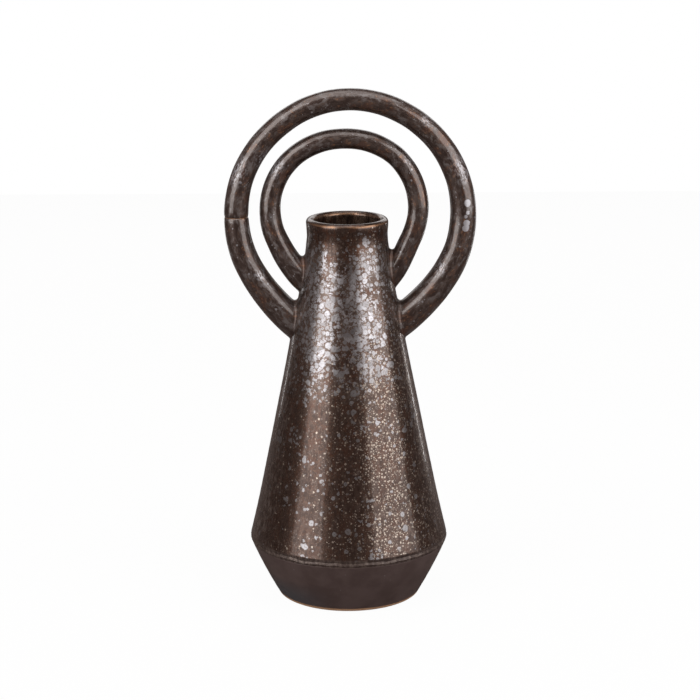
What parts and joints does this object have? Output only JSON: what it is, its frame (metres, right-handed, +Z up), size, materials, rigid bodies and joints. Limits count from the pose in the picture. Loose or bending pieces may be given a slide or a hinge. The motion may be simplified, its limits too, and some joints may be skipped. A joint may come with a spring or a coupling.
{
  "type": "urn vase",
  "caption": "Conical stoneware vase with a keeled belly, a short neck and two ring handles that stand one inside the other over the mouth.",
  "frame": {"origin": "centre of the foot on the body's axis, on the surface that the vase stands on", "axes": "+Z up along the body's axis, +X across the width of the ring handles, which stand in the XZ plane, -Y towards the viewer"},
  "size_m": [0.1739, 0.14, 0.3596],
  "materials": {
    "body_glaze": "dark bronze lustre glaze with silver spots and pale specks, glossy",
    "handle_glaze": "dark bronze lustre glaze, streaked lengthwise, glossy",
    "base_glaze": "smooth dark brown satin glaze, bare clay on the foot"
  },
  "bodies": {
    "root": {"upper_body": "body_glaze", "lower_body": "base_glaze", "belly_seam": "body_glaze", "outer_handle_long": "handle_glaze", "outer_handle_short": "handle_glaze", "outer_root_left": "handle_glaze", "outer_root_right": "handle_glaze", "inner_handle": "handle_glaze", "inner_root_left": "handle_glaze", "inner_root_right": "handle_glaze"}
  },
  "joints": []
}
